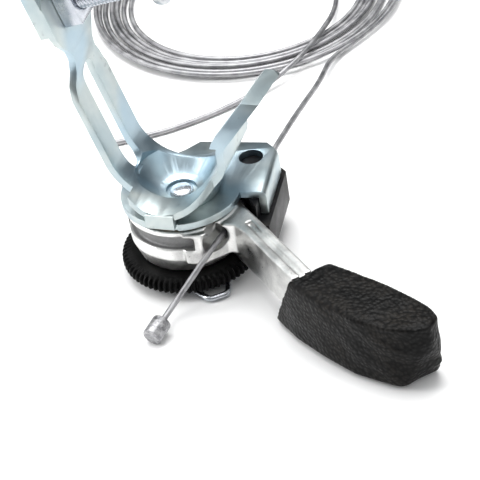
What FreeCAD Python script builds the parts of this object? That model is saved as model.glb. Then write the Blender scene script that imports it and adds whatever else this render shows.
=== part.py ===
import FreeCAD, Part
import math
import os
import Sketcher
from FreeCAD import Placement, Rotation, Vector

# Friction thumb shifter for a 22.2 mm handlebar, lying on its knob with the clamp up. Millimetres.
# X runs across the clamp band, from the slotted strap to the pointed arm, Y runs along the handlebar and Z is
# the lever's pivot. The origin is where the handlebar's axis crosses the pivot's axis. Inside each
# sub-part, height 0 is the base plate's top face, which its Placement puts below the handlebar.

document = FreeCAD.newDocument("ThumbShifter")

# ---------------------------------------------------------------- driving dimensions

DRIVING_SIZES = {
    "bar_radius": 11.1,
    "seat_height": 2.7,
    "band_thickness": 1.5,
    "band_half_width": 7.7,
    "strap_flare": 16.0,
    "strap_length": 15.8,
    "neck_length": 6.6,
    "ear_length": 12.8,
    "ear_hole_drop": 6.0,
    "slot_half_width": 2.6,
    "slot_bottom": 5.0,
    "slot_top": 30.0,
    "arm_flare": 40.0,
    "arm_length": 4.2,
    "wall_length": 3.0,
    "tip_flare": 39.0,
    "tip_length": 17.0,
    "bend_step": 0.8,
    "arm_edge_height": 1.3,
    "pad_radius": 13.0,
    "dish_radius": 6.5,
    "dish_floor": 0.9,
    "tab_half_width": 3.0,
    "plate_radius": 12.5,
    "plate_thickness": 1.6,
    "plate_angle": 6.0,
    "plate_rear": 16.2,
    "plate_front": 1.0,
    "flange_face": 17.8,
    "flange_drop": 5.5,
    "plate_hole_radius": 2.5,
    "plate_hole_x": 12.4,
    "plate_hole_y": 11.0,
    "wall": 1.5,
    "housing_bottom": 13.0,
    "housing_side": 18.6,
    "drum_room_radius": 12.4,
    "stud_radius": 4.0,
    "rivet_head_radius": 2.4,
    "bush_radius": 5.0,
    "drum_radius": 11.8,
    "drum_top": 2.55,
    "drum_bottom": 13.1,
    "groove_radius": 10.4,
    "groove_top": 3.75,
    "groove_bottom": 6.9,
    "lever_angle": -43.5,
    "arm_near": 4.6,
    "arm_far": 9.0,
    "arm_top": 3.0,
    "arm_bottom": 13.0,
    "nipple_hole_radius": 2.95,
    "paddle_top": 3.0,
    "paddle_bottom": 18.0,
    "knob_radius": 14.6,
    "knob_top": 13.5,
    "knob_bottom": 16.6,
    "screw_radius": 2.45,
    "cable_diameter": 1.2,
    "nipple_radius": 2.0,
    "nipple_length": 4.5,
    "floor_depth": 18.5,
    "coil_inner_radius": 27.0,
    "coil_outer_radius": 40.0,
}

sheet = document.addObject("Spreadsheet::Sheet", "Sizes")
for row, (alias, value) in enumerate(DRIVING_SIZES.items(), start=1):
    sheet.set(f"A{row}", alias)
    sheet.set(f"B{row}", str(value))
    sheet.setAlias(f"B{row}", alias)
document.recompute()

PLATE_TOP = "-(Sizes.bar_radius + Sizes.seat_height)"
UP = Vector(0, 0, 1)
sub_parts = []


def size(expression):
    """The value of a formula in the sheet's aliases, in mm or degrees."""
    return float(sheet.evalExpression(expression))


# ---------------------------------------------------------------- shared ways of making a sub-part


def new_body(label, turn=0.0, keep=True):
    """An empty body at the plate's top face, turned about the pivot."""
    body = document.addObject("PartDesign::Body", label)
    body.Label = label
    body.Placement = Placement(Vector(0, 0, size(PLATE_TOP)), Rotation(UP, turn))
    body.setExpression("Placement.Base.z", PLATE_TOP)
    if keep:
        sub_parts.append(body)
    return body


def new_sketch(body, role, name, lift="0", turn=0.0):
    """A sketch on one of the body's origin planes, lifted along the plane's normal."""
    sketch = body.newObject("Sketcher::SketchObject", name)
    plane = [feature for feature in body.Origin.OriginFeatures if feature.Role == role][0]
    sketch.AttachmentSupport = (plane, "")
    sketch.MapMode = "FlatFace"
    sketch.AttachmentOffset = Placement(Vector(0, 0, size(lift)), Rotation(UP, turn))
    sketch.setExpression("AttachmentOffset.Base.z", lift)
    return sketch


def bound(sketch, kind, geometry, point, expression):
    """Hold a sketch point at a distance from the origin that the sheet gives."""
    row = sketch.addConstraint(Sketcher.Constraint(kind, -1, 1, geometry, point, size(expression)))
    sketch.setExpression(f"Constraints[{row}]", expression)


def add_outline(sketch, corners):
    """Straight lines through corners, each bound to its two formulas."""
    spots = [Vector(size(x), size(y), 0) for x, y in corners]
    first = sketch.GeometryCount
    count = len(spots)
    for corner in range(count):
        sketch.addGeometry(Part.LineSegment(spots[corner], spots[(corner + 1) % count]), False)
    for corner in range(count):
        following = first + (corner + 1) % count
        sketch.addConstraint(Sketcher.Constraint("Coincident", first + corner, 2, following, 1))
    for corner, (x, y) in enumerate(corners):
        bound(sketch, "DistanceX", first + corner, 1, x)
        bound(sketch, "DistanceY", first + corner, 1, y)


def add_circle(sketch, radius, x="0", y="0"):
    """A circle bound to its centre and radius."""
    circle = sketch.addGeometry(Part.Circle(Vector(size(x), size(y), 0), UP, size(radius)), False)
    bound(sketch, "DistanceX", circle, 3, x)
    bound(sketch, "DistanceY", circle, 3, y)
    row = sketch.addConstraint(Sketcher.Constraint("Radius", circle, size(radius)))
    sketch.setExpression(f"Constraints[{row}]", radius)


def add_feature(body, kind, name, sketch, length=None, backwards=False, midplane=False):
    """A pad or pocket of a sketch, or a turning about the sketch's upright axis."""
    before = body.Shape.Volume if body.Tip else 0.0
    feature = body.newObject(f"PartDesign::{kind}", name)
    feature.Profile = sketch
    if length is None:
        feature.ReferenceAxis = (sketch, ["V_Axis"])
        feature.Angle = 360.0
    else:
        feature.setExpression("Length", length)
        feature.Midplane = midplane
    feature.Reversed = backwards
    document.recompute()
    cuts = kind in ("Pocket", "Groove")
    grown = body.Shape.Volume - before
    if (grown >= 0 if cuts else grown <= 0):
        raise ValueError(f"{name} of {body.Label} changed the volume by {grown:.3f}")
    return feature


def pad_outline(body, name, corners, top, depth, turn=0.0):
    """Add a prism that hangs down from a height to a depth below it."""
    sketch = new_sketch(body, "XY_Plane", name + "Sketch", top, turn)
    add_outline(sketch, corners)
    return add_feature(body, "Pad", name, sketch, depth, backwards=True)


def pad_circle(body, name, radius, top, depth, x="0", y="0"):
    """Add a disc that hangs down from a height to a depth below it."""
    sketch = new_sketch(body, "XY_Plane", name + "Sketch", top)
    add_circle(sketch, radius, x, y)
    return add_feature(body, "Pad", name, sketch, depth, backwards=True)


def cut_outline(body, name, corners, top, depth, turn=0.0):
    """Cut a prism from a height down to a depth below it."""
    sketch = new_sketch(body, "XY_Plane", name + "Sketch", top, turn)
    add_outline(sketch, corners)
    return add_feature(body, "Pocket", name, sketch, depth)


def cut_circle(body, name, radius, top, depth, x="0", y="0"):
    """Cut a round hole from a height down to a depth below it."""
    sketch = new_sketch(body, "XY_Plane", name + "Sketch", top)
    add_circle(sketch, radius, x, y)
    return add_feature(body, "Pocket", name, sketch, depth)


def turned_body(label, profile, turn=0.0):
    """A body turned about its own upright axis from (radius, height) corners."""
    body = new_body(label, turn)
    sketch = new_sketch(body, "XZ_Plane", label + "Profile")
    add_outline(sketch, profile)
    add_feature(body, "Revolution", label + "Turned", sketch)
    return body


def round_edges(body, name, radius, wanted):
    """Fillet the edges of the body's tip that a test picks."""
    tip = body.Tip
    edges = [f"Edge{n}" for n, edge in enumerate(tip.Shape.Edges, start=1) if wanted(edge)]
    fillet = body.newObject("PartDesign::Fillet", name)
    fillet.Base = (tip, edges)
    fillet.Radius = radius
    document.recompute()
    return fillet


def made_shape(label, shape, turn=0.0):
    """A sub-part made with Part's own functions, at the plate's top face and turned about the pivot."""
    feature = document.addObject("Part::Feature", label)
    feature.Label = label
    feature.Shape = shape
    feature.Placement = Placement(Vector(0, 0, size(PLATE_TOP)), Rotation(UP, turn))
    sub_parts.append(feature)
    return feature


# ---------------------------------------------------------------- clamp band
# One bent steel strip: a slotted strap that ends in a screw ear, a round seat for the handlebar with a pressed
# dish for the rivet, a locking tab at the front, and a pointed arm with a raised front edge.

thickness = size("Sizes.band_thickness")
half_width = size("Sizes.band_half_width")
bar_radius = size("Sizes.bar_radius")
bar_height = size("Sizes.bar_radius + Sizes.seat_height")


def along(flare, length, side):
    """A step up an arm that leans outwards by flare degrees, on the side -1 or 1."""
    lean = math.radians(flare)
    return Vector(side * math.sin(lean) * length, 0, math.cos(lean) * length)


def outward(flare, distance, side):
    """A step square to such an arm, away from the handlebar."""
    lean = math.radians(flare)
    return Vector(side * math.cos(lean) * distance, 0, -math.sin(lean) * distance)


def arm_line(side, steps, distance):
    """Corners of one arm at a distance outside its inner face, up (lean in degrees, length) steps."""
    corner = Vector(0, 0, bar_height) + outward(steps[0][0], bar_radius, side)
    corners = [corner + outward(steps[0][0], distance, side)]
    for (lean, length), (following, _) in zip(steps, steps[1:] + steps[-1:]):
        corner = corner + along(lean, length, side)
        reach = distance / math.cos(math.radians((lean - following) / 2))
        corners.append(corner + outward((lean + following) / 2, reach, side))
    return corners


def bend(first, last):
    """The short steps that turn a strip from one lean to another."""
    step = size("Sizes.bend_step")
    return [(first + (last - first) * share, step) for share in (0.25, 0.5, 0.75)]


STRAP_LEAN = size("Sizes.strap_flare")
ARM_LEAN = size("Sizes.arm_flare")
TIP_LEAN = size("Sizes.tip_flare")
STRAP_STEPS = [(STRAP_LEAN, size("Sizes.strap_length"))] + bend(STRAP_LEAN, 0.0)
STRAP_STEPS += [(0.0, size("Sizes.neck_length"))] + bend(0.0, STRAP_LEAN)
STRAP_STEPS += [(STRAP_LEAN, size("Sizes.ear_length"))]
ARM_STEPS = [(ARM_LEAN, size("Sizes.arm_length"))] + bend(ARM_LEAN, 0.0)
ARM_STEPS += [(0.0, size("Sizes.wall_length"))] + bend(0.0, TIP_LEAN)
ARM_STEPS += [(TIP_LEAN, size("Sizes.tip_length"))]


def band_blank(inside, outside, front, rear):
    """The bent strip between two distances from its inner face, before its outline is cut."""
    edges = []
    for distance in (inside, outside):
        strap = arm_line(-1, STRAP_STEPS, distance)
        arm = arm_line(1, ARM_STEPS, distance)
        low = Vector(0, 0, bar_height - bar_radius - distance)
        for line in (strap, arm):
            edges += [Part.makeLine(start, end) for start, end in zip(line, line[1:])]
        edges.append(Part.Arc(strap[0], low, arm[0]).toShape())
    for side, steps in ((-1, STRAP_STEPS), (1, ARM_STEPS)):
        edges.append(Part.makeLine(arm_line(side, steps, inside)[-1], arm_line(side, steps, outside)[-1]))
    face = Part.Face(Part.Wire(Part.__sortEdges__(edges)))
    face.translate(Vector(0, front, 0))
    return face.extrude(Vector(0, rear - front, 0))


def turned_solid(corners):
    """A solid turned about the pivot from (radius, height) corners."""
    points = [Vector(radius, 0, height) for radius, height in corners]
    return Part.Face(Part.makePolygon(points + points[:1])).revolve(Vector(), UP, 360.0)


def side_prism(corners, start, end):
    """A prism along X from (y, height) corners."""
    points = [Vector(start, y, z) for y, z in corners]
    face = Part.Face(Part.makePolygon(points + points[:1]))
    return face.extrude(Vector(end - start, 0, 0))


def slot_prism(half, low, high, start, end):
    """A round-ended slot cutter along X."""
    middle = side_prism([(-half, low + half), (half, low + half), (half, high - half), (-half, high - half)],
                        start, end)
    ends = [Part.makeCylinder(half, end - start, Vector(start, 0, height), Vector(1, 0, 0))
            for height in (low + half, high - half)]
    return middle.multiFuse(ends)


def make_clamp_band():
    """The whole band, with its dish, tab, slot, neck, ear, wing and raised arm edge."""
    front = -size("Sizes.pad_radius")
    strap_knee, neck_knee, ear_top = [arm_line(-1, STRAP_STEPS, 0.0)[corner] for corner in (3, 7, -1)]
    wall_top, arm_tip = [arm_line(1, ARM_STEPS, 0.0)[corner].z for corner in (5, -1)]
    neck_half = 4.8
    ear_half = half_width + 0.8
    strap_half = [(half_width, 0), (half_width, strap_knee.z - 2.5), (half_width - 1.0, strap_knee.z + 0.6),
                  (neck_half + 0.4, strap_knee.z + 3.0), (neck_half, strap_knee.z + 5.0),
                  (neck_half, neck_knee.z - 3.4), (neck_half + 0.8, neck_knee.z - 1.2),
                  (ear_half - 0.6, neck_knee.z + 1.6), (ear_half, neck_knee.z + 3.4),
                  (ear_half, ear_top.z - 3), (ear_half - 3, ear_top.z + 1)]
    strap_outline = strap_half + [(-y, z) for y, z in reversed(strap_half)]
    left = side_prism(strap_outline, -30.0, -6.0)
    front_edge = [(-half_width, wall_top + 2.9), (1.2 - half_width, wall_top + 5.9),
                  (2.7 - half_width, arm_tip - 5.1), (-1.5, arm_tip - 2.4), (0, arm_tip)]
    rear_edge = [(1.2, arm_tip - 5.1), (3.0, wall_top + 6.4), (6.2, wall_top + 3.0),
                 (half_width, wall_top + 1.4)]
    leaf = [(half_width, 0), (-half_width, 0)] + front_edge + rear_edge
    right = side_prism(leaf, 6.0, 30.0)
    pad_top = 6.5
    rim_reach = 11.0
    pad = Part.makeCylinder(-front, rim_reach)
    pad = pad.common(Part.makeBox(rim_reach + 7.0, -front, rim_reach, Vector(-7.0, front, 0)))
    middle = Part.makeBox(16.0, 2 * half_width, pad_top, Vector(-8.0, -half_width, 0)).fuse(pad)
    outline = left.multiFuse([middle, right])
    band = band_blank(0.0, thickness, front, half_width + 2.0).common(outline)

    raised = size("Sizes.arm_edge_height")
    inner_edge = [(y + thickness, z - 1.0) for y, z in reversed(front_edge)]
    edge_outline = [(-half_width, wall_top + 1.0)] + front_edge + inner_edge
    edge_outline += [(thickness - half_width, wall_top + 1.0)]
    raised_edge = band_blank(-raised, 0.3, front, half_width).common(right)
    raised_edge = raised_edge.common(side_prism(edge_outline, 6.0, 30.0))

    bar = Part.makeCylinder(bar_radius, 60.0, Vector(0, -30.0, bar_height), Vector(0, 1, 0))
    dish = size("Sizes.dish_radius")
    underside = -size("Sizes.plate_thickness")
    floor = -size("Sizes.dish_floor")
    cup = turned_solid([(0, underside), (dish, underside), (dish, 0), (dish + 1.5, 0),
                        (dish + 2.8, 4.0), (0, 4.0)]).cut(bar)
    cup = cup.common(Part.makeBox(-2 * front, half_width - front, 8.0, Vector(front, front, -2.0)))
    room = turned_solid([(0, floor), (3.2, floor), (3.2, -0.1), (4.7, 0.3), (7.6, 3.4), (8.6, 4.6), (8.6, 12.0),
                         (0, 12.0)])
    tab_half = size("Sizes.tab_half_width")
    tab = Part.makeBox(2 * tab_half, thickness, 3.1, Vector(-tab_half, front - 0.4, -0.4)).cut(bar)
    wing = Part.makeBox(3.0, thickness, 9.5, Vector(-3.2, -ear_half, 4.4))
    wing.rotate(Vector(), Vector(0, 1, 0), -STRAP_LEAN)
    wing.translate(neck_knee)
    band = band.multiFuse([cup, tab, wing, raised_edge]).cut(room)
    band = band.cut(slot_prism(size("Sizes.slot_half_width"), size("Sizes.slot_bottom"),
                               size("Sizes.slot_top"), -30.0, -3.0))
    band = band.cut(Part.makeCylinder(2.05, 10.0, Vector(0, 0, -4.0)))
    screw_way = outward(STRAP_LEAN, -1.0, -1)
    band = band.cut(Part.makeCylinder(2.75, 12.0, SCREW_CENTRE - screw_way * 6.0, screw_way))
    return band.removeSplitter()


SCREW_CENTRE = arm_line(-1, STRAP_STEPS, 0.0)[-1] - along(STRAP_LEAN, size("Sizes.ear_hole_drop"), -1)
made_shape("clamp_band", make_clamp_band())

# ---------------------------------------------------------------- base plate
# A round steel plate with a square corner whose side is folded down, a round hole and a notch for the band's tab.

plate_turn = size("Sizes.plate_angle")
plate = new_body("base_plate", plate_turn)
pad_circle(plate, "Disc", "Sizes.plate_radius", "0", "Sizes.plate_thickness")
PLATE_CORNERS = [
    ("-3.3", "11.85"),
    ("-3.3", "4"),
    ("4", "-Sizes.plate_front"),
    ("Sizes.flange_face", "-Sizes.plate_front"),
    ("Sizes.flange_face", "Sizes.plate_rear - 3"),
    ("Sizes.flange_face - 3", "Sizes.plate_rear"),
    ("0.5", "Sizes.plate_rear"),
]
pad_outline(plate, "Corner", PLATE_CORNERS, "0", "Sizes.plate_thickness")
FLANGE_CORNERS = [
    ("Sizes.flange_face - Sizes.plate_thickness", "-Sizes.plate_front"),
    ("Sizes.flange_face", "-Sizes.plate_front"),
    ("Sizes.flange_face", "Sizes.plate_rear - 3"),
    ("Sizes.flange_face - Sizes.plate_thickness", "Sizes.plate_rear - 3"),
]
pad_outline(plate, "Flange", FLANGE_CORNERS, "0", "Sizes.flange_drop")
round_edges(plate, "FlangeBend", 1.4, lambda edge: (
    abs(edge.BoundBox.XMin - size("Sizes.flange_face")) < 1e-3
    and abs(edge.BoundBox.ZMin) < 1e-3 and edge.BoundBox.YLength > 5 and edge.BoundBox.XLength < 1e-3))
cut_circle(plate, "RoundHole", "Sizes.plate_hole_radius", "1", "4", "Sizes.plate_hole_x", "Sizes.plate_hole_y")
cut_circle(plate, "DishHole", "Sizes.dish_radius + 0.1", "1", "4")
NOTCH_CORNERS = [
    ("-Sizes.tab_half_width - 0.15", "-Sizes.pad_radius - 1"),
    ("Sizes.tab_half_width + 0.15", "-Sizes.pad_radius - 1"),
    ("Sizes.tab_half_width + 0.15", "-Sizes.plate_radius + 0.75"),
    ("-Sizes.tab_half_width - 0.15", "-Sizes.plate_radius + 0.75"),
]
cut_outline(plate, "TabNotch", NOTCH_CORNERS, "1", "4", turn=-plate_turn)

# ---------------------------------------------------------------- housing
# A black plastic cover below the plate, round the back of the drum, with a ledge under the folded side. It is
# open in front, where the lever swings, and closed by a deck above and a floor below.

housing = new_body("housing_cover", plate_turn)
HOUSING_UPPER = [
    ("-Sizes.plate_radius - 1.1", "0.8"),
    ("Sizes.flange_face - Sizes.plate_thickness - 0.1", "-5"),
    ("Sizes.flange_face - Sizes.plate_thickness - 0.1", "Sizes.plate_rear - 2"),
    ("Sizes.flange_face - 3", "Sizes.plate_rear + 1.2"),
    ("-0.5", "Sizes.plate_rear + 1.2"),
    ("-7.5", "11.4"),
    ("-Sizes.plate_radius - 1.1", "4.5"),
]
HOUSING_LOWER = [
    ("-Sizes.plate_radius - 1.1", "0.8"),
    ("Sizes.housing_side", "-5"),
    ("Sizes.housing_side", "Sizes.plate_rear - 2.4"),
    ("Sizes.housing_side - 3.6", "Sizes.plate_rear + 1.2"),
    ("-0.5", "Sizes.plate_rear + 1.2"),
    ("-7.5", "11.4"),
    ("-Sizes.plate_radius - 1.1", "4.5"),
]
LEDGE = "(Sizes.flange_drop + 0.15)"
UNDER_PLATE = "(Sizes.plate_thickness + 0.02)"
pad_outline(housing, "Upper", HOUSING_UPPER, f"-{UNDER_PLATE}", f"{LEDGE} - {UNDER_PLATE}")
pad_outline(housing, "Lower", HOUSING_LOWER, f"-{LEDGE}", f"Sizes.housing_bottom - {LEDGE}")
cut_circle(housing, "DrumRoom", "Sizes.drum_room_radius", "0", "Sizes.housing_bottom + 1")
FRONT_CUT = [
    ("-20", "2.8"),
    ("-20", "-20"),
    ("16.8", "-20"),
    ("16.8", "-4.9"),
    ("11", "2.8"),
]
cut_outline(housing, "FrontOpening", FRONT_CUT, "0", "Sizes.housing_bottom + 1")
CAVITY = [
    ("9", "5"),
    ("10.5", "0"),
    ("14.4", "-4"),
    ("14.4", "Sizes.plate_rear - 1.2"),
    ("0", "Sizes.plate_rear - 0.9"),
    ("-4", "12.2"),
]
cut_outline(housing, "Cavity", CAVITY, "-3.2", "Sizes.housing_bottom - 3.2 - Sizes.wall")
CABLE_MOUTH = [("12.2", "12"), ("14.7", "12"), ("14.7", "20"), ("12.2", "20")]
cut_outline(housing, "CableMouth", CABLE_MOUTH, "-4.4", "2.4")

# ---------------------------------------------------------------- pivot stud and friction stack
# The stud is riveted over in the band's dimple. Below the plate it carries the bush, the washers and the thread
# of the tension screw, from the plate down to the knob.

STUD_BOTTOM = "-14.7"
stud = turned_body("pivot_stud", [
    ("0", "0"),
    ("Sizes.rivet_head_radius - 0.5", "0"),
    ("Sizes.rivet_head_radius", "-0.3"),
    ("Sizes.rivet_head_radius", "-Sizes.dish_floor"),
    ("2", "-Sizes.dish_floor"),
    ("2", "-Sizes.plate_thickness"),
    ("Sizes.stud_radius", "-Sizes.plate_thickness"),
    ("Sizes.stud_radius", STUD_BOTTOM),
    ("2.1", STUD_BOTTOM),
    ("2.1", "-4"),
    ("0", "-4"),
])
FLAT = "3.2"
for side, sign in (("Front", "-"), ("Rear", "")):
    near, far = sign + FLAT, sign + "6"
    cut_outline(stud, side + "Flat", [("-6", near), ("6", near), ("6", far), ("-6", far)], "-13.72", "2")


def washer(label, inner, outer, top, bottom):
    """A flat ring between two depths."""
    return turned_body(label, [(inner, f"-{top}"), (outer, f"-{top}"), (outer, f"-{bottom}"), (inner, f"-{bottom}")])


turned_body("lever_bush", [
    ("Sizes.stud_radius + 0.05", "-2.6"),
    ("Sizes.bush_radius", "-2.6"),
    ("Sizes.bush_radius", "-13.05"),
    ("Sizes.stud_radius + 0.05", "-13.05"),
])
washer("upper_friction_washer", "Sizes.stud_radius + 0.05", "9.5", "Sizes.plate_thickness", "2.45")
washer("lower_friction_washer", "Sizes.stud_radius + 0.05", "8.6", "13.15", "13.7")
keyed = new_body("keyed_washer")
pad_circle(keyed, "Ring", "8.6", "-13.72", "0.8")
KEY_HOLE = [
    ("-3.6", "-3.25"), ("-2.5", "-3.25"), ("2.5", "-3.25"), ("3.6", "-3.25"), ("4.1", "0"),
    ("3.6", "3.25"), ("2.5", "3.25"), ("-3.6", "3.25"), ("-4.1", "0"),
]
cut_outline(keyed, "KeyHole", KEY_HOLE, "-13", "3")
turned_body("cone_spring", [
    ("4.4", "-14.55"), ("4.9", "-14.55"), ("8.4", "-15.05"), ("8.4", "-15.45"), ("7.9", "-15.45"), ("4.4", "-14.95"),
])

# ---------------------------------------------------------------- lever
# One casting: a drum with a cable groove, a root with the nipple's hole, an arm with a grooved top and a flat
# tongue that holds the paddle's cover. X runs out along the arm.

lever_turn = size("Sizes.lever_angle")
lever = new_body("lever", lever_turn)
drum_profile = new_sketch(lever, "XZ_Plane", "DrumProfile")
add_outline(drum_profile, [
    ("Sizes.bush_radius", "-Sizes.drum_top"),
    ("Sizes.drum_radius", "-Sizes.drum_top"),
    ("Sizes.drum_radius", "-9.5"),
    ("Sizes.drum_radius - 1.2", "-Sizes.drum_bottom"),
    ("Sizes.bush_radius", "-Sizes.drum_bottom"),
])
add_feature(lever, "Revolution", "Drum", drum_profile)
ROOT_CORNERS = [
    ("7", "-6"),
    ("10.8", "-6"),
    ("13", "-3.4"),
    ("13", "2.6"),
    ("14.2", "4"),
    ("17.5", "Sizes.arm_near"),
    ("17.5", "Sizes.arm_far"),
    ("7", "Sizes.arm_far - 0.5"),
]
pad_outline(lever, "Root", ROOT_CORNERS, "-Sizes.arm_top", "7.2")
ARM_CORNERS = [
    ("7", "Sizes.arm_near"),
    ("36.4", "Sizes.arm_near"),
    ("36.4", "Sizes.arm_far"),
    ("7", "Sizes.arm_far"),
]
pad_outline(lever, "Arm", ARM_CORNERS, "-Sizes.arm_top", "Sizes.arm_bottom - Sizes.arm_top")
TONGUE_CORNERS = [
    ("35", "Sizes.arm_near + 0.6"),
    ("48", "8.4"),
    ("57.5", "12.8"),
    ("56", "17"),
    ("46", "13"),
    ("35", "Sizes.arm_far"),
]
pad_outline(lever, "Tongue", TONGUE_CORNERS, "-Sizes.arm_top - 3", "Sizes.arm_bottom - Sizes.arm_top - 3")
groove_profile = new_sketch(lever, "XZ_Plane", "GrooveProfile")
add_outline(groove_profile, [
    ("Sizes.groove_radius", "-Sizes.groove_top"),
    ("Sizes.drum_radius + 1", "-Sizes.groove_top"),
    ("Sizes.drum_radius + 1", "-Sizes.groove_bottom"),
    ("Sizes.groove_radius", "-Sizes.groove_bottom"),
])
add_feature(lever, "Groove", "CableGroove", groove_profile)
nipple_hole = new_sketch(lever, "YZ_Plane", "NippleHoleSketch", "16")
add_circle(nipple_hole, "Sizes.nipple_hole_radius", "0.1", "-5.5")
add_feature(lever, "Pocket", "NippleHole", nipple_hole, "8.5")
CHANNEL = [("15", "6.3"), ("38", "6.3"), ("38", "7.5"), ("15", "7.5")]
cut_outline(lever, "TopChannel", CHANNEL, "-Sizes.arm_top + 1", "1.8")

# ---------------------------------------------------------------- paddle cover
# A soft cover over the tongue: a curved block with a slanted inner end, cut to fit the casting.

blank = new_body("paddle_blank", lever_turn, keep=False)
PADDLE_CORNERS = [
    ("27", "3.2"), ("36.5", "3.5"), ("45", "4.9"), ("53", "7.2"), ("60", "10.6"), ("63.8", "14.4"),
    ("65", "18"), ("63", "21.2"), ("59", "21.6"), ("47", "18"), ("35", "12.8"), ("27", "11"),
]
pad_outline(blank, "Block", PADDLE_CORNERS, "-Sizes.paddle_top", "Sizes.paddle_bottom - Sizes.paddle_top")
slant = new_sketch(blank, "XZ_Plane", "SlantSketch", "-30")
add_outline(slant, [("20", "-2"), ("36.2", "-2"), ("36.2", "-Sizes.paddle_top"), ("27.6", "-19"), ("20", "-19")])
add_feature(blank, "Pocket", "SlantedEnd", slant, "60", backwards=True)
end_slope = new_sketch(blank, "XZ_Plane", "EndSlopeSketch", "-30")
add_outline(end_slope, [("70", "-5"), ("66", "-5"), ("61.5", "-19"), ("70", "-19")])
add_feature(blank, "Pocket", "EndSlope", end_slope, "60", backwards=True)
cover = document.addObject("Part::Cut", "paddle_cover")
cover.Label = "paddle_cover"
cover.Base = blank
cover.Tool = lever
sub_parts.append(cover)

# ---------------------------------------------------------------- friction knob, tension screw and D-ring
# The ribbed knob, its washer and the screw turn together. The D-ring hangs in the screw's head, folded flat.

KNOB_RIBS = 36
knob = new_body("friction_knob")
knob_profile = new_sketch(knob, "XZ_Plane", "KnobProfile")
add_outline(knob_profile, [
    ("9", "-Sizes.knob_top"),
    ("Sizes.knob_radius - 1.4", "-Sizes.knob_top"),
    ("Sizes.knob_radius - 0.5", "-Sizes.knob_top - 0.9"),
    ("Sizes.knob_radius - 0.5", "-Sizes.knob_bottom + 0.5"),
    ("Sizes.knob_radius - 1", "-Sizes.knob_bottom"),
    ("3", "-Sizes.knob_bottom"),
    ("3", "-15.85"),
    ("9", "-15.85"),
])
add_feature(knob, "Revolution", "KnobTurned", knob_profile)
RIB_CORNERS = [
    ("Sizes.knob_radius - 0.9", "-0.45"),
    ("Sizes.knob_radius", "-0.3"),
    ("Sizes.knob_radius", "0.3"),
    ("Sizes.knob_radius - 0.9", "0.45"),
]
rib = pad_outline(knob, "Rib", RIB_CORNERS, "-Sizes.knob_top - 0.6", "Sizes.knob_bottom - Sizes.knob_top - 1")
rib_ring = knob.newObject("PartDesign::PolarPattern", "RibRing")
rib_ring.Originals = [rib]
rib_ring.Axis = ([feature for feature in knob.Origin.OriginFeatures if feature.Role == "Z_Axis"][0], [""])
rib_ring.Angle = 360.0
rib_ring.Occurrences = KNOB_RIBS
knob.Tip = rib_ring

washer("thrust_washer", "3", "8.6", "15.47", "15.83")
HEAD_TOP = "-Sizes.knob_bottom - 0.02"
HEAD_BOTTOM = "-Sizes.floor_depth + 0.15"
screw = turned_body("tension_screw", [
    ("0", "-5"),
    ("1.6", "-5"),
    ("2.04", "-5.6"),
    ("2.04", "-15"),
    ("2.9", "-15.86"),
    ("2.9", HEAD_TOP),
    ("4.6", HEAD_TOP),
    ("4.6", HEAD_BOTTOM),
    ("0", HEAD_BOTTOM),
])
RING_TURN = -52.0
RING_HEIGHT = "-17.6"
ring_wire = 0.62
ring_hole = new_sketch(screw, "YZ_Plane", "RingHoleSketch", "-6")
add_circle(ring_hole, f"{ring_wire + 0.06}", "0", RING_HEIGHT)
add_feature(screw, "Pocket", "RingHole", ring_hole, "12", backwards=True)
screw.Placement = Placement(Vector(0, 0, size(PLATE_TOP)), Rotation(UP, RING_TURN + 90))


def rounded_path(points, radii=None, share=0.45):
    """Straight runs joined by tangent arcs, each as large as its two runs allow, with their radii."""
    edges = []
    found = []
    start = points[0]
    for number in range(1, len(points) - 1):
        before = points[number] - points[number - 1]
        after = points[number + 1] - points[number]
        turn = before.getAngle(after)
        radius = share * min(before.Length, after.Length) / math.tan(turn / 2)
        if radii:
            radius = radii
        step = radius * math.tan(turn / 2)
        into = points[number] - before.normalize() * step
        out_of = points[number] + after.normalize() * step
        square = (after - before).normalize()
        reach = radius / math.cos(turn / 2) - radius
        edges.append(Part.makeLine(start, into))
        edges.append(Part.Arc(into, points[number] + square * reach, out_of).toShape())
        start = out_of
        found.append(radius)
    edges.append(Part.makeLine(start, points[-1]))
    return Part.Wire(edges), found


def tube(points, radius, bend=None):
    """A round bar along rounded runs, and the radii of its bends."""
    path, radii = rounded_path(points, bend)
    start = points[0]
    section = Part.Wire([Part.makeCircle(radius, start, points[1] - points[0])])
    solid = path.makePipeShell([section], True, False)
    ideal = math.pi * radius**2 * path.Length
    if abs(solid.Volume - ideal) > 0.01 * ideal:
        raise ValueError(f"a tube of volume {solid.Volume:.2f} should have {ideal:.2f}")
    return solid, path.Length, radii


def make_d_ring():
    """A wire bent into a D, with its two ends turned in to the screw's head."""
    height = size(RING_HEIGHT)
    half = 5.75
    corners = [(0, 2.4), (0, half), (6.2, half), (15.4, 2.0)]
    points = [Vector(x, -y, height) for x, y in corners]
    points += [Vector(x, y, height) for x, y in reversed(corners)]
    return tube(points, ring_wire, 1.5)[0]


made_shape("d_ring", make_d_ring(), RING_TURN)

# ---------------------------------------------------------------- clamp screw, its washer and nut
# The nut lies against the ear. The screw runs through nut and ear towards the pointed arm, and its head is beyond.

screw_axis = outward(STRAP_LEAN, -1.0, -1)


def place_on_screw_axis(body, distance):
    """Stand a body on the clamp screw's axis, a distance in from the ear's inner face."""
    spot = SCREW_CENTRE + screw_axis * distance
    body.setExpression("Placement.Base.z", None)
    body.Placement = Placement(spot + Vector(0, 0, size(PLATE_TOP)), Rotation(UP, screw_axis))


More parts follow.
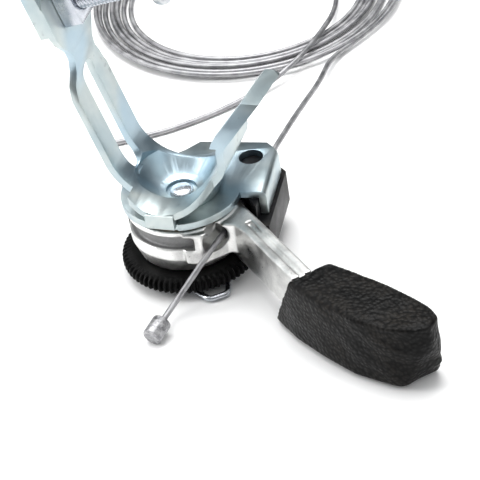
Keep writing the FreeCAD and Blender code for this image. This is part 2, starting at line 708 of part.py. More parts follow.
nut = new_body("clamp_nut")
pad_outline(nut, "Square", [("-4", "-4"), ("4", "-4"), ("4", "4"), ("-4", "4")], "4", "3.98")
cut_circle(nut, "Thread", "Sizes.screw_radius + 0.05", "5", "6")
place_on_screw_axis(nut, 0.0)
SCREW_LENGTH = 25.0
clamp_screw = turned_body("clamp_screw", [
    ("0", "-3"), ("1.9", "-3"), ("Sizes.screw_radius", "-2.4"), ("Sizes.screw_radius", "22"), ("4.25", "22"),
    ("4.25", "24.4"), ("3.2", "25.4"), ("0", "25.4"),
])
slot = new_sketch(clamp_screw, "XY_Plane", "SlotSketch", "26")
add_outline(slot, [("-5", "-0.6"), ("5", "-0.6"), ("5", "0.6"), ("-5", "0.6")])
add_feature(clamp_screw, "Pocket", "DriverSlot", slot, "2.2")
place_on_screw_axis(clamp_screw, 0.0)
clamp_washer = turned_body("clamp_washer", [
    ("Sizes.screw_radius + 0.06", "20.9"), ("5", "20.9"), ("5", "21.97"), ("Sizes.screw_radius + 0.06", "21.97"),
])
place_on_screw_axis(clamp_washer, 0.0)

# ---------------------------------------------------------------- inner cable
# A thin steel cable: its nipple hangs in front of the lever, its tail enters the lever's hole and reaches the
# groove, the run leaves behind the housing for the coil on the table, and the cut end lies in front of the coil.

cable_radius = size("Sizes.cable_diameter") / 2
FLOOR = -size("Sizes.floor_depth")
COIL_CENTRE = Vector(-20.0, 101.0, 0)
GROOVE_CORNER = Vector(11.15, -1.98, -5.35)
HOLE_CORNER = Vector(8.6, -11.3, -7.05)
GROOVE_ENTRY = GROOVE_CORNER + (HOLE_CORNER - GROOVE_CORNER) * 0.51
TAIL_POINTS = [
    Vector(1.44, -23.6, -15.7), Vector(2.46, -18.9, -14.9), Vector(5.7, -15.2, -10.8), HOLE_CORNER, GROOVE_ENTRY,
]
RUN_POINTS = [
    GROOVE_ENTRY, GROOVE_CORNER, Vector(11.5, 4.5, -5.4), Vector(11.8, 13.0, -5.5), Vector(11.9, 29.0, -7.0),
    Vector(11.2, 46.0, -10.6), Vector(10.4, 62.0, -14.9), Vector(9.0, 75.0, -17.2),
]
LOOSE_POINTS = [
    Vector(2.6, 70.0, -17.2), Vector(-2.6, 61.8, -17.6), Vector(-9.0, 54.0, -17.8), Vector(-15.6, 47.2, -17.8),
    Vector(-23.0, 41.2, -17.8), Vector(-31.0, 37.0, -17.8),
]
for name, route in (("cable_tail", TAIL_POINTS), ("cable_run", RUN_POINTS), ("cable_loose_end", LOOSE_POINTS)):
    solid, length, radii = tube(route, cable_radius)
    made_shape(name, solid)
    print(name, "length", round(length, 1), "radii", [round(radius, 1) for radius in radii])

nipple = turned_body("cable_nipple", [
    ("0", "0"), ("Sizes.nipple_radius", "0"), ("Sizes.nipple_radius", "Sizes.nipple_length"),
    ("0", "Sizes.nipple_length"),
])
tail_way = (TAIL_POINTS[0] - TAIL_POINTS[1]).normalize()
nipple.setExpression("Placement.Base.z", None)
nipple.Placement = Placement(TAIL_POINTS[0] + Vector(0, 0, size(PLATE_TOP)), Rotation(UP, tail_way))

coil = turned_body("cable_coil", [
    ("Sizes.coil_inner_radius", "-Sizes.floor_depth"),
    ("Sizes.coil_outer_radius", "-Sizes.floor_depth"),
    ("Sizes.coil_outer_radius", "-Sizes.floor_depth + 2.6"),
    ("Sizes.coil_outer_radius - 3.5", "-Sizes.floor_depth + 4.6"),
    ("Sizes.coil_inner_radius + 3", "-Sizes.floor_depth + 4.6"),
    ("Sizes.coil_inner_radius", "-Sizes.floor_depth + 2.6"),
])
coil.Placement = Placement(COIL_CENTRE + Vector(0, 0, size(PLATE_TOP)), Rotation())

# ---------------------------------------------------------------- check and write

document.recompute()
for item in document.Objects:
    if {"Invalid", "Error"} & set(item.State):
        raise ValueError(f"{item.Label} failed: {item.State}")
os.makedirs("parts", exist_ok=True)
for item in sub_parts:
    shape = item.Shape
    if shape.isNull() or not shape.isValid():
        raise ValueError(f"{item.Label} has no valid shape")
    shape.exportStep(f"parts/{item.Label}.step")
    box = shape.BoundBox
    print(f"{item.Label:24s} solids {len(shape.Solids)} volume {shape.Volume:9.1f}",
          f"z {box.ZMin:.1f} to {box.ZMax:.1f}")
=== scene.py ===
import math
import random

import bmesh
import bpy
from mathutils import Matrix, Vector, noise


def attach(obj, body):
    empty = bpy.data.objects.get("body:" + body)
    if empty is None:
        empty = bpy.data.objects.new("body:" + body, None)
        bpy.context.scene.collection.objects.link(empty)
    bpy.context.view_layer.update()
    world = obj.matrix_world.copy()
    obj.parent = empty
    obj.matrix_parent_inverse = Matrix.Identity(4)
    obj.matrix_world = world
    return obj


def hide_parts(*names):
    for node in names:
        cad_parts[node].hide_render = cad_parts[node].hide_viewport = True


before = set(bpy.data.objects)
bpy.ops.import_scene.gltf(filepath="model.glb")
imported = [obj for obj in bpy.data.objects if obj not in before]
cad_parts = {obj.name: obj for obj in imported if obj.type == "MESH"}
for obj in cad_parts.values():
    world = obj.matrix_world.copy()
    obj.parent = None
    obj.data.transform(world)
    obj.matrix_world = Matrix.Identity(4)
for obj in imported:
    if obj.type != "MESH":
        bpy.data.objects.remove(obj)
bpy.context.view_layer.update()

# A friction thumb shifter lying on its knob with the clamp up, in metres and its own frame: X across
# the clamp band, Y along the handlebar, Z up along the lever's pivot. Zero is the handlebar's axis.

# ---------------------------------------------------------------- camera
# A long lens above the front, looking down past the lever, and rolled a little so that the pivot leans left.

MM = 0.001
camera = bpy.data.objects.new("camera", bpy.data.cameras.new("camera"))
bpy.context.scene.collection.objects.link(camera)
camera.data.sensor_width = 36.0
camera.data.lens = 165.7
camera.data.clip_start = 0.01
CAMERA_PLACE = Vector((151.88, -333.27, 247.66)) * MM
AIM = Vector((12.11, -2.77, -23.87)) * MM
CAMERA_ROLL = math.radians(-9.273)
looking = (AIM - CAMERA_PLACE).to_track_quat("-Z", "Y").to_matrix().to_4x4()
camera.matrix_world = Matrix.Translation(CAMERA_PLACE) @ looking @ Matrix.Rotation(CAMERA_ROLL, 4, "Z")
bpy.context.scene.camera = camera

# ---------------------------------------------------------------- inner cable
# A 1.2 mm steel gear cable. Its tail goes through the lever's hole into the drum's groove, the run leaves
# behind the housing for the coil on the table, and the cut end lies in front of the coil.


class Socket:
    """A node's output, on which Python arithmetic adds Math nodes."""

    def __init__(self, shader, link):
        self.shader = shader
        self.link = link

    def math(self, operation, *values):
        return self.shader.node("ShaderNodeMath", {"operation": operation}, dict(enumerate(values)))

    def __add__(self, other):
        return self.math("ADD", self, other)

    def __sub__(self, other):
        return self.math("SUBTRACT", self, other)

    def __mul__(self, other):
        return self.math("MULTIPLY", self, other)

    def __radd__(self, other):
        return self.math("ADD", other, self)

    def __rsub__(self, other):
        return self.math("SUBTRACT", other, self)

    def __rmul__(self, other):
        return self.math("MULTIPLY", other, self)


class Finish:
    """A material under construction: its nodes, its coordinates and its main shader."""

    def __init__(self, name, metallic=0.0, **uniform):
        self.material = bpy.data.materials.new(name)
        self.material.use_nodes = True
        self.tree = self.material.node_tree
        self.main = self.tree.nodes["Principled BSDF"]
        self.main.inputs["Metallic"].default_value = metallic
        for socket, value in uniform.items():
            self.main.inputs[socket.replace("_", " ")].default_value = value
        self.place = self.node("ShaderNodeTexCoord", {}, {}, "Object")

    def node(self, kind, settings, inputs, output=0):
        """Any node: its settings first, then a value or a link for each named or numbered socket."""
        made = self.tree.nodes.new(kind)
        for setting, value in settings.items():
            setattr(made, setting, value)
        for socket, value in inputs.items():
            if isinstance(value, Socket):
                self.tree.links.new(value.link, made.inputs[socket])
            else:
                made.inputs[socket].default_value = value
        return Socket(self, made.outputs[output])

    def stretched(self, scale, turn=(0, 0, 0)):
        """The piece's own coordinates, scaled along each axis."""
        return self.node("ShaderNodeMapping", {}, {"Vector": self.place, "Scale": scale, "Rotation": turn})

    def noise(self, size_mm, detail=3.0, rough=0.5, place=None, warp=0.0):
        """Soft random mottling whose blotches are about size_mm across, from 0 to 1."""
        settings = {"Vector": place or self.place, "Scale": 1000.0 / size_mm, "Detail": detail}
        settings.update({"Roughness": rough, "Distortion": warp})
        return self.node("ShaderNodeTexNoise", {}, settings)

    def steps(self, value, low, high, out_low=0.0, out_high=1.0):
        """A value spread from one range to another, held at both ends."""
        inputs = {"Value": value, "From Min": low, "From Max": high, "To Min": out_low, "To Max": out_high}
        return self.node("ShaderNodeMapRange", {}, inputs)

    def mix(self, factor, first, second):
        """A colour between two colours."""
        pair = [value if isinstance(value, Socket) else tuple(value) + (1.0,) for value in (first, second)]
        return self.node("ShaderNodeMix", {"data_type": "RGBA"}, {0: factor, 6: pair[0], 7: pair[1]}, 2)

    def bump(self, height, depth_mm, strength=1.0):
        """Relief as deep as depth_mm where height goes from 0 to 1."""
        inputs = {"Height": height, "Distance": depth_mm * MM, "Strength": strength}
        return self.node("ShaderNodeBump", {}, inputs)

    def feed(self, **links):
        """Join values or links to the main shader's sockets."""
        for socket, value in links.items():
            target = self.main.inputs[socket.replace("_", " ")]
            if isinstance(value, Socket):
                self.tree.links.new(value.link, target)
            elif isinstance(value, (tuple, list)):
                target.default_value = tuple(value) + (1.0,)
            else:
                target.default_value = value
        return self.material


def stranded_steel():
    """Grey steel wire, dull where grease and dust have settled."""
    finish = Finish("stranded_steel", metallic=1.0)
    grime = finish.noise(3.0, 3.0, 0.6)
    tone = finish.mix(finish.steps(grime, 0.35, 0.7), (0.26, 0.26, 0.27), (0.46, 0.46, 0.47))
    return finish.feed(Base_Color=tone, Roughness=finish.steps(grime, 0.3, 0.7, 0.42, 0.6))


cable_steel = stranded_steel()
PLATE_TOP = -13.8
CABLE_DIAMETER = 1.2
HOLE_CORNER = Vector((8.6, -11.3, -7.05))
GROOVE_CORNER = Vector((11.15, -1.98, -5.35))
GROOVE_ENTRY = GROOVE_CORNER + (HOLE_CORNER - GROOVE_CORNER) * 0.51
TAIL_ROUTE = [(1.44, -23.6, -15.7), (2.46, -18.9, -14.9), (5.7, -15.2, -10.8), HOLE_CORNER, GROOVE_ENTRY]
RUN_ROUTE = [GROOVE_ENTRY, GROOVE_CORNER, (11.5, 4.5, -5.4), (11.8, 13.0, -5.5), (11.9, 29.0, -7.0),
             (11.2, 46.0, -10.6), (10.4, 62.0, -14.9), (9.0, 75.0, -17.2)]
LOOSE_ROUTE = [(1.6, 68.5, -15.4), (-3.0, 61.4, -17.2), (-9.0, 54.0, -17.8), (-15.6, 47.2, -17.8),
               (-23.0, 41.2, -17.8), (-31.0, 37.0, -17.8)]


def in_frame(point):
    """A point given in millimetres from the plate's top face, in metres."""
    x, y, z = point
    return Vector((x, y, z + PLATE_TOP)) * MM


def cable_curve(name, points):
    """A smooth open curve along the route, as thick as the cable."""
    curve = bpy.data.curves.new(name, "CURVE")
    curve.dimensions = "3D"
    spline = curve.splines.new("NURBS")
    spline.points.add(len(points) - 1)
    for control, point in zip(spline.points, points):
        control.co = (*in_frame(point), 1.0)
    spline.order_u = 3
    spline.use_endpoint_u = True
    curve.resolution_u = 8
    curve.bevel_depth = CABLE_DIAMETER / 2 * MM
    curve.bevel_resolution = 4
    curve.use_fill_caps = True
    curve.materials.append(cable_steel)
    piece = bpy.data.objects.new(name, curve)
    bpy.context.scene.collection.objects.link(piece)
    return piece


COIL_CENTRE = (-20.0, 101.0)
COIL_OUTER = 38.9
COIL_INNER = 28.2
TURN_PITCH = 1.45
COIL_START = math.radians(-6.0)
COIL_TURNS = 7.4
TURN_BACK = 9.5
COIL_LEVEL = -17.85
LIFTS = (0.0, 0.6, 1.2)


def coil_points():
    """The turns from the outermost inwards, a turn back inside the ring, and the way out over the bundle."""
    steps = 16
    centre_x, centre_y = COIL_CENTRE
    drift = random.Random(5)
    shifts = [(drift.uniform(-0.8, 0.8), drift.uniform(-0.8, 0.8), drift.choice(LIFTS)) for _ in range(9)]
    points = [(14.0, 85.0, -17.4)]
    for step in range(int(COIL_TURNS * steps) + 1):
        turn = step / steps
        share = turn - int(turn)
        earlier, later = shifts[int(turn)], shifts[int(turn) + 1]
        x, y, lift = (a * (1 - share) + b * share for a, b in zip(earlier, later))
        radius = COIL_OUTER - TURN_PITCH * turn
        angle = COIL_START + turn * math.tau
        points.append((centre_x + x + radius * math.cos(angle), centre_y + y + radius * math.sin(angle),
                       COIL_LEVEL + lift))
    end_angle = COIL_START + COIL_TURNS * math.tau
    middle = COIL_INNER - TURN_BACK
    for turned in (30, 60, 90, 120, 150, 180):
        angle = end_angle + math.radians(turned)
        points.append((centre_x + middle * math.cos(end_angle) + TURN_BACK * math.cos(angle),
                       centre_y + middle * math.sin(end_angle) + TURN_BACK * math.sin(angle), -17.8))
    way_out = [(6.0, 12.8, -17.8), (15.0, 12.0, -17.7), (22.0, 5.0, -17.3), (25.0, -6.0, -16.6),
               (24.8, -17.0, -15.5), (23.6, -26.0, -15.1)]
    return points + [(centre_x + x, centre_y + y, z) for x, y, z in way_out]


tail = cable_curve("cable_tail_wire", TAIL_ROUTE)
run = cable_curve("cable_run_wire", RUN_ROUTE + coil_points() + LOOSE_ROUTE)
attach(tail, "lever_arm")
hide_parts("cable_tail")
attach(run, "bracket")
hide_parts("cable_run", "cable_coil", "cable_loose_end")
in_frame(GROOVE_ENTRY)

# ---------------------------------------------------------------- clamp band
# One pressed steel strip, bright zinc plated: a slotted strap with its ear, a round seat with a dish for the
# rivet, and a pointed arm. Its edges are rolled a little by the press.


def copied(node_name, body, finish):
    """A new piece with a sub-part's own mesh, which rides on its body in the sub-part's place."""
    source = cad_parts[node_name]
    mesh = source.data.copy()
    mesh.materials.clear()
    mesh.materials.append(finish)
    piece = bpy.data.objects.new(node_name + "_piece", mesh)
    piece.matrix_world = source.matrix_world.copy()
    bpy.context.scene.collection.objects.link(piece)
    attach(piece, body)
    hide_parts(node_name)
    return piece


def rounded_edges(piece, width_mm, segments=3):
    """Flat faces joined up, then a small round along every edge that stays."""
    shape = bmesh.new()
    shape.from_mesh(piece.data)
    bmesh.ops.remove_doubles(shape, verts=shape.verts, dist=0.002 * MM)
    bmesh.ops.dissolve_limit(shape, angle_limit=math.radians(0.6), verts=shape.verts, edges=shape.edges)
    for face in shape.faces:
        face.smooth = True
    shape.to_mesh(piece.data)
    shape.free()
    rounding = piece.modifiers.new("edges", "BEVEL")
    rounding.width = width_mm * MM
    rounding.segments = segments
    rounding.limit_method = "ANGLE"
    rounding.angle_limit = math.radians(32)
    rounding.harden_normals = True
    rounding.use_clamp_overlap = True


def bright_zinc():
    """Bright zinc over rolled steel: faint rolling lines, clouds, blued patches and a few dull spots."""
    finish = Finish("bright_zinc", metallic=1.0)
    cloud = finish.noise(9.0, 3.0, 0.55, warp=0.4)
    fine = finish.noise(0.5, 2.0, 0.6)
    rolled = finish.noise(1.2, 4.0, 0.6, place=finish.stretched((6.0, 0.25, 6.0)))
    cool = finish.mix(finish.steps(cloud, 0.35, 0.65), (0.36, 0.43, 0.45), (0.52, 0.57, 0.56))
    blued = finish.steps(finish.noise(16.0, 1.0, 0.4), 0.48, 0.62)
    tinted = finish.mix(blued * 0.4, cool, (0.26, 0.44, 0.6))
    spots = finish.steps(finish.noise(2.6, 2.0, 0.5), 0.68, 0.74)
    colour = finish.mix(spots * 0.35, tinted, (0.2, 0.21, 0.23))
    rough = finish.steps(cloud + fine * 0.3, 0.4, 0.9, 0.28, 0.44)
    relief = finish.bump(rolled * 0.6 + cloud * 0.4, 0.012)
    return finish.feed(Base_Color=colour, Roughness=rough, Normal=relief)


zinc = bright_zinc()
band = copied("clamp_band", "bracket", zinc)
rounded_edges(band, 0.28)

# ---------------------------------------------------------------- base plate
# The stamped plate under the band, from the same zinc-plated sheet, with one side folded down.

plate = copied("base_plate", "bracket", zinc)
rounded_edges(plate, 0.2)

# ---------------------------------------------------------------- housing cover
# A satin black moulding round the back of the drum. Dust and wear have browned it a little on its side.


def black_moulding():
    """Satin black plastic with fine spark texture, dusty in blotches."""
    finish = Finish("black_moulding", Specular_IOR_Level=0.18)
    spark = finish.noise(0.22, 2.0, 0.6)
    dust = finish.noise(6.0, 4.0, 0.6, warp=0.3)
    tone = finish.mix(finish.steps(dust, 0.45, 0.75), (0.004, 0.004, 0.005), (0.022, 0.02, 0.018))
    rough = finish.steps(dust + spark * 0.2, 0.4, 0.9, 0.28, 0.55)
    return finish.feed(Base_Color=tone, Roughness=rough, Normal=finish.bump(spark, 0.02))


housing = copied("housing_cover", "bracket", black_moulding())
rounded_edges(housing, 0.35)

# ---------------------------------------------------------------- pivot stud and friction stack
# The stud is turned steel, riveted over in the dish. The washers, the spring and the bush sit below the
# plate, mostly out of sight: fibre, stamped steel, dark spring steel and brass.


def turned_metal(name, dark, light, rough_low, rough_high):
    """Metal with fine round tool marks and a little staining."""
    finish = Finish(name, metallic=1.0)
    stain = finish.noise(2.2, 4.0, 0.6)
    marks = finish.noise(0.25, 3.0, 0.6, place=finish.stretched((0.3, 0.3, 5.0)))
    tone = finish.mix(finish.steps(stain, 0.3, 0.7), dark, light)
    rough = finish.steps(stain, 0.3, 0.7, rough_low, rough_high)
    return finish.feed(Base_Color=tone, Roughness=rough, Normal=finish.bump(marks, 0.01))


def friction_fibre():
    """Pressed brown fibre with short flecks."""
    finish = Finish("friction_fibre")
    flecks = finish.noise(0.4, 3.0, 0.7, place=finish.stretched((1.0, 3.0, 1.0)))
    tone = finish.mix(finish.steps(flecks, 0.35, 0.65), (0.2, 0.11, 0.05), (0.42, 0.28, 0.15))
    return finish.feed(Base_Color=tone, Roughness=finish.steps(flecks, 0.3, 0.7, 0.7, 0.9),
                       Normal=finish.bump(flecks, 0.03))


def dressed(node_name, finish):
    """Give a carried-over sub-part its finish."""
    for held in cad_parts[node_name].material_slots:
        held.material = finish


stud_steel = turned_metal("stud_steel", (0.38, 0.4, 0.43), (0.55, 0.57, 0.6), 0.2, 0.35)
washer_steel = turned_metal("washer_steel", (0.42, 0.44, 0.46), (0.62, 0.63, 0.64), 0.25, 0.4)
fibre = friction_fibre()
stud = copied("pivot_stud", "bracket", stud_steel)
rounded_edges(stud, 0.15)
dressed("upper_friction_washer", fibre)
dressed("lower_friction_washer", fibre)
dressed("keyed_washer", washer_steel)
dressed("thrust_washer", washer_steel)
dressed("cone_spring", turned_metal("spring_steel", (0.12, 0.12, 0.13), (0.26, 0.26, 0.28), 0.3, 0.45))
dressed("lever_bush", turned_metal("bush_brass", (0.62, 0.44, 0.2), (0.8, 0.62, 0.32), 0.2, 0.4))

# ---------------------------------------------------------------- lever
# A zinc or aluminium die casting, tumbled and polished: soft edges everywhere, a matt grey cable groove and
# casting pits, which the polish does not reach.


def resmoothed(piece, voxel_mm, passes, share=0.5):
    """The piece's surface rebuilt in small even faces with its edges worn round."""
    rebuild = piece.modifiers.new("rebuild", "REMESH")
    rebuild.mode = "VOXEL"
    rebuild.voxel_size = voxel_mm * MM
    rebuild.use_smooth_shade = True
    wear = piece.modifiers.new("wear", "SMOOTH")
    wear.factor = share
    wear.iterations = passes
    surface = bpy.data.meshes.new_from_object(piece.evaluated_get(bpy.context.evaluated_depsgraph_get()))
    piece.modifiers.clear()
    finish = piece.data.materials[0]
    piece.data = surface
    surface.materials.clear()
    surface.materials.append(finish)
    for face in surface.polygons:
        face.use_smooth = True


def polished_casting():
    """Bright polished casting metal with soft waves, small dark pits and cloudy oxide."""
    finish = Finish("polished_casting", metallic=1.0)
    cloud = finish.noise(5.0, 4.0, 0.6, warp=0.3)
    pits = finish.steps(finish.noise(0.7, 2.0, 0.5), 0.7, 0.78)
    fine = finish.noise(0.3, 3.0, 0.6)
    bright = finish.mix(finish.steps(cloud + fine * 0.25, 0.42, 0.78), (0.56, 0.56, 0.55), (0.9, 0.9, 0.88))
    colour = finish.mix(pits * 0.7, bright, (0.08, 0.08, 0.08))
    rough = finish.steps(cloud + fine * 0.3, 0.4, 0.9, 0.26, 0.44)
    relief = finish.bump(cloud * 0.5 + fine * 0.2 - pits * 0.5, 0.06)
    flat = {0: finish.place, 1: (1000, 1000, 0)}
    parts = finish.node("ShaderNodeVectorMath", {"operation": "MULTIPLY"}, flat)
    reach = finish.node("ShaderNodeVectorMath", {"operation": "LENGTH"}, {0: parts}, "Value")
    height = finish.node("ShaderNodeSeparateXYZ", {}, {"Vector": finish.place}, "Z") * 1000 - PLATE_TOP
    inside = finish.steps(reach, 11.7, 11.3) * finish.steps(reach, 8.0, 8.5)
    level = finish.steps(height, -7.3, -6.9) * finish.steps(height, -3.3, -3.7)
    groove = inside * level
    scratched = finish.noise(0.5, 3.0, 0.7, place=finish.stretched((1.0, 1.0, 5.0)))
    matt = finish.mix(scratched, (0.2, 0.2, 0.2), (0.42, 0.42, 0.42))
    shown = finish.mix(groove, colour, matt)
    return finish.feed(Base_Color=shown, Roughness=rough + groove * 0.3, Normal=relief)


lever = copied("lever", "lever_arm", polished_casting())
resmoothed(lever, 0.22, 5)

# ---------------------------------------------------------------- paddle cover
# A soft black vinyl sleeve pulled over the lever's end, leather-grained, with rounded corners. Towards its
# closed end it has sagged into shallow wrinkles.


def leather_vinyl():
    """Black soft vinyl with a pebbled grain, with painted shade darkening the grain's hollows almost to
    black.
    """
    finish = Finish("leather_vinyl", Specular_IOR_Level=0.11)
    pebbles = finish.node("ShaderNodeTexVoronoi", {"feature": "SMOOTH_F1"},
                          {"Vector": finish.place, "Scale": 1300.0, "Smoothness": 0.7})
    creases = finish.noise(2.4, 4.0, 0.6, warp=0.8)
    worn = finish.noise(8.0, 3.0, 0.5)
    skin = finish.mix(finish.steps(worn, 0.4, 0.7), (0.005, 0.005, 0.005), (0.016, 0.014, 0.012))
    # Painted shade: the hollows between the grain's pebbles are darkened almost to black.
    tone = finish.mix(finish.steps(pebbles, 0.35, 0.6) * 0.85, skin, (0.001, 0.001, 0.001))
    rough = finish.steps(worn + pebbles * 0.3, 0.4, 0.9, 0.34, 0.55)
    relief = finish.bump(creases * 0.4 - pebbles * 1.2, 0.17)
    return finish.feed(Base_Color=tone, Roughness=rough, Normal=relief)


PADDLE_END = Vector((54.0, -33.0))


def wrinkled(piece, outer, reach_mm):
    """Push the cover's surface in along wandering folds that deepen towards its outer end."""
    for vertex in piece.data.vertices:
        place = vertex.co / MM
        near = max(0.0, 1.0 - (Vector((place.x, place.y)) - outer).length / reach_mm)
        wander = noise.noise(place * 0.16) * 2.6 + noise.noise(place * 0.4) * 0.7
        fold = math.sin(place.z * 0.9 + (place.x - place.y) * 0.28 + wander)
        depth = 0.05 + 0.34 * near
        vertex.co -= vertex.normal * (0.5 + 0.5 * fold) * depth * MM
    piece.data.update()


paddle = copied("paddle_cover", "lever_arm", leather_vinyl())
resmoothed(paddle, 0.5, 16, 0.7)
wrinkled(paddle, PADDLE_END, 22.0)

# ---------------------------------------------------------------- friction knob
# A black moulded tension knob whose rim is cut with fine ribs, so that fingers can turn it under the lever.


def lathe(name, rings, around, body, finish):
    """A turned piece from (radius, height, rib depth) rings, with four spokes to a rib: two out, two in."""
    shape = bmesh.new()
    loops = []
    for radius, height, depth in rings:
        loop = []
        for spoke in range(around):
            reach = radius - (depth if spoke % 4 in (2, 3) else 0.0)
            angle = spoke / around * math.tau
            loop.append(shape.verts.new(in_frame((reach * math.cos(angle), reach * math.sin(angle), height))))
        loops.append(loop)
    for lower, upper in zip(loops, loops[1:] + loops[:1]):
        for spoke in range(around):
            beside = (spoke + 1) % around
            shape.faces.new((lower[spoke], lower[beside], upper[beside], upper[spoke]))
    bmesh.ops.recalc_face_normals(shape, faces=shape.faces)
    mesh = bpy.data.meshes.new(name)
    shape.to_mesh(mesh)
    shape.free()
    mesh.materials.append(finish)
    piece = bpy.data.objects.new(name, mesh)
    bpy.context.scene.collection.objects.link(piece)
    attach(piece, body)
    return piece


def knob_plastic():
    """Hard black plastic, dulled by handling."""
    finish = Finish("knob_plastic", Specular_IOR_Level=0.08)
    dull = finish.noise(3.0, 4.0, 0.6)
    grain = finish.noise(0.3, 2.0, 0.6)
    tone = finish.mix(finish.steps(dull, 0.4, 0.7), (0.003, 0.003, 0.003), (0.009, 0.009, 0.009))
    return finish.feed(Base_Color=tone, Roughness=finish.steps(dull, 0.35, 0.7, 0.3, 0.5),
                       Normal=finish.bump(grain, 0.02))


KNOB_RIBS = 72
KNOB_RINGS = [(9.0, -13.5, 0.0), (12.3, -13.5, 0.0), (12.9, -13.55, 0.3), (13.9, -13.85, 0.6),
              (14.4, -14.3, 0.75), (14.55, -14.8, 0.75), (14.55, -15.8, 0.75), (14.35, -16.2, 0.6),
              (13.7, -16.5, 0.3),
              (13.2, -16.6, 0.0), (3.0, -16.6, 0.0), (3.0, -15.85, 0.0), (9.0, -15.85, 0.0)]
knob = lathe("ribbed_knob", KNOB_RINGS, KNOB_RIBS * 4, "knob", knob_plastic())
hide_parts("friction_knob")
knob_edges = knob.modifiers.new("edges", "BEVEL")
knob_edges.width = 0.06 * MM
knob_edges.segments = 2
knob_edges.angle_limit = math.radians(35)

# ---------------------------------------------------------------- screws, nut, washer and ring
# Zinc-plated steel: the M5 clamp screw with its rolled thread, its square nut and washer, the short tension
# screw and the wire ring that folds against it.

screw_steel = turned_metal("screw_steel", (0.4, 0.43, 0.48), (0.6, 0.62, 0.66), 0.16, 0.3)
STRAP_LEAN = math.radians(16.0)
EAR_HOLE = in_frame((-17.57, 0.0, 43.81))
SCREW_WAY = Vector((math.cos(STRAP_LEAN), 0.0, math.sin(STRAP_LEAN)))


def threaded(piece, start, way, low_mm, high_mm, radius_mm, pitch_mm):
    """Swap a screw's plain shank between two distances for one with a rolled thread."""
    across = way.orthogonal().normalized()
    along = way.cross(across)
    shape = bmesh.new()
    shape.from_mesh(piece.data)
    doomed = []
    for face in shape.faces:
        spread = [(corner.co - start) for corner in face.verts]
        if all((arm - way * arm.dot(way)).length < (radius_mm + 0.02) * MM for arm in spread):
            if all(arm.dot(way) < (high_mm + 0.05) * MM for arm in spread):
                doomed.append(face)
    bmesh.ops.delete(shape, geom=doomed, context="FACES")
    around = 24
    step_mm = pitch_mm / 8
    rows = int((high_mm - low_mm) / step_mm)
    thread_depth = 0.45
    loops = []
    for row in range(rows + 1):
        reach = low_mm + row * step_mm
        point_in = min(1.0, 0.72 + row * 0.04)
        loop = []
        for spoke in range(around):
            phase = (reach / pitch_mm - spoke / around) % 1.0
            crest = abs(phase - 0.5) * 2
            cut = thread_depth * min(1.0, max(0.0, crest * 1.25 - 0.1))
            radius = (radius_mm - cut) * point_in
            angle = spoke / around * math.tau
            arm = across * math.cos(angle) + along * math.sin(angle)
            loop.append(shape.verts.new(start + way * reach * MM + arm * radius * MM))
        loops.append(loop)
    for lower, upper in zip(loops, loops[1:]):
        for spoke in range(around):
            beside = (spoke + 1) % around
            made = shape.faces.new((lower[spoke], lower[beside], upper[beside], upper[spoke]))
            made.smooth = True
    shape.faces.new(loops[0])
    bmesh.ops.recalc_face_normals(shape, faces=shape.faces)
    shape.to_mesh(piece.data)
    shape.free()


clamp_screw = copied("clamp_screw", "clamp_screw_shaft", screw_steel)
threaded(clamp_screw, EAR_HOLE, SCREW_WAY, -3.0, 22.0, 2.45, 0.8)
nut = copied("clamp_nut", "bracket", screw_steel)
rounded_edges(nut, 0.3)
clamp_washer = copied("clamp_washer", "clamp_screw_carrier", washer_steel)
rounded_edges(clamp_washer, 0.12)
tension_screw = copied("tension_screw", "knob", screw_steel)
rounded_edges(tension_screw, 0.15)
ring_steel = turned_metal("ring_wire", (0.4, 0.42, 0.45), (0.62, 0.64, 0.67), 0.18, 0.32)
ring = copied("d_ring", "folding_ring", ring_steel)
for face in ring.data.polygons:
    face.use_smooth = True

# ---------------------------------------------------------------- cable nipple
# The cast zinc barrel at the cable's end: grey, with a worn skin and a slightly swollen waist.


def worn_zinc():
    """Dull cast zinc, scuffed bright in places."""
    finish = Finish("worn_zinc", metallic=1.0)
    scuff = finish.noise(0.9, 5.0, 0.7, warp=0.4)
    tone = finish.mix(finish.steps(scuff, 0.4, 0.62), (0.2, 0.2, 0.21), (0.52, 0.52, 0.53))
    return finish.feed(Base_Color=tone, Roughness=finish.steps(scuff, 0.3, 0.7, 0.35, 0.6),
                       Normal=finish.bump(scuff, 0.08))


nipple = copied("cable_nipple", "lever_arm", worn_zinc())
rounded_edges(nipple, 0.3)

# ---------------------------------------------------------------- table and light
# A white table top under a large soft light from above and two side panels, in a room that darkens downwards.


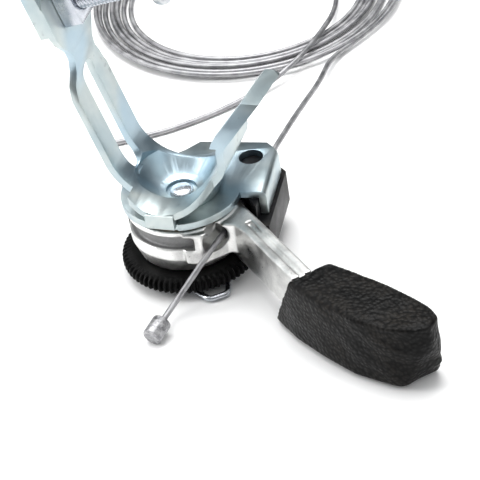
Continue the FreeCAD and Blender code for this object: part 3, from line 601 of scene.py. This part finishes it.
def white_table():
    """Smooth white card."""
    finish = Finish("white_table")
    mottle = finish.noise(40.0, 2.0, 0.5)
    return finish.feed(Base_Color=finish.mix(mottle, (0.9, 0.9, 0.9), (0.93, 0.93, 0.93)), Roughness=0.7)


FLOOR = -32.3
bpy.ops.mesh.primitive_plane_add(size=3.0, location=(0, 0, FLOOR * MM))
table = bpy.context.object
table.name = "table"
table.data.materials.append(white_table())


def soft_light(name, place, aim, width, height, power):
    """A rectangular light panel that faces a point."""
    lamp = bpy.data.lights.new(name, "AREA")
    lamp.shape = "RECTANGLE"
    lamp.size = width
    lamp.size_y = height
    lamp.energy = power
    panel = bpy.data.objects.new(name, lamp)
    bpy.context.scene.collection.objects.link(panel)
    spot = Vector(place)
    facing = (Vector(aim) - spot).to_track_quat("-Z", "Y").to_matrix().to_4x4()
    panel.matrix_world = Matrix.Translation(spot) @ facing


soft_light("light_top", (-0.1, 0.25, 0.9), (0, 0, 0), 0.7, 0.7, 10.0)
soft_light("light_left", (-0.8, -0.3, 0.5), (0, 0, 0), 0.3, 0.7, 5.0)
soft_light("light_right", (0.8, -0.2, 0.4), (0, 0, 0), 0.25, 0.7, 1.8)


def studio_room():
    """A grey room, bright overhead and dark towards the horizon, so that metal has something to show."""
    world = bpy.data.worlds.new("room")
    bpy.context.scene.world = world
    world.use_nodes = True
    tree = world.node_tree
    way = tree.nodes.new("ShaderNodeTexCoord")
    parts = tree.nodes.new("ShaderNodeSeparateXYZ")
    shade = tree.nodes.new("ShaderNodeValToRGB")
    tree.links.new(way.outputs["Generated"], parts.inputs[0])
    tree.links.new(parts.outputs["Z"], shade.inputs["Fac"])
    tree.links.new(shade.outputs["Color"], tree.nodes["Background"].inputs["Color"])
    stops = shade.color_ramp.elements
    stops[0].position = 0.0
    stops[0].color = (0.05, 0.055, 0.06, 1)
    stops[1].position = 0.9
    stops[1].color = (1, 1, 1, 1)
    middle = stops.new(0.45)
    middle.color = (0.2, 0.21, 0.22, 1)
    tree.nodes["Background"].inputs["Strength"].default_value = 1.0


studio_room()
bpy.context.scene.view_settings.view_transform = "Standard"
